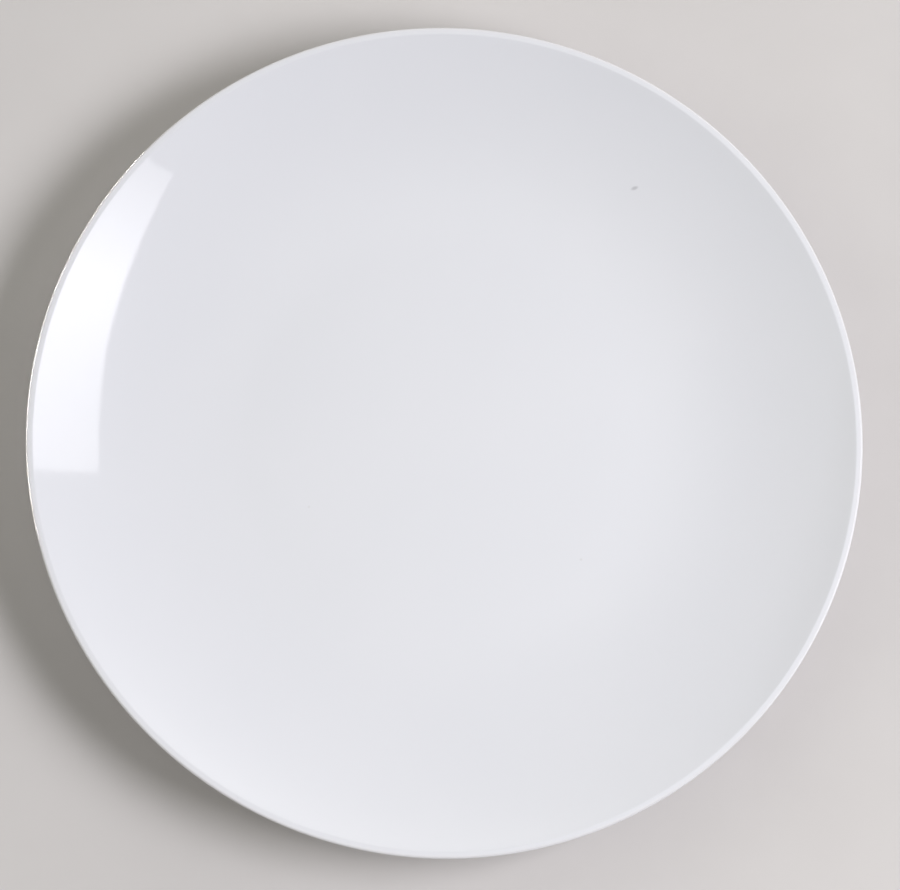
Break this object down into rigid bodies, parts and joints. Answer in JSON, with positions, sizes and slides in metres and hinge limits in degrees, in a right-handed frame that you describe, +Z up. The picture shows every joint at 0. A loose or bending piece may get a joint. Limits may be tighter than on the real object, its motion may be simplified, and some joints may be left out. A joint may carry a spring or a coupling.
{
  "type": "coupe dinner plate",
  "caption": "Round coupe dinner plate: a flat well that curves up without a rim to a rounded lip, on a low foot ring with a bare bearing face.",
  "frame": {"origin": "on the plate's axis, at the height of the foot ring's bearing face", "axes": "+Z up along the plate's axis, out of the well; the plate is the same in every direction round it"},
  "size_m": [0.27, 0.27, 0.025],
  "materials": {
    "bare_porcelain": "matte, ground bearing face",
    "white_glaze": "gloss, cool white"
  },
  "bodies": {
    "root": {"porcelain_body": "bare_porcelain", "outer_glaze": "white_glaze", "foot_well_glaze": "white_glaze"}
  },
  "joints": []
}
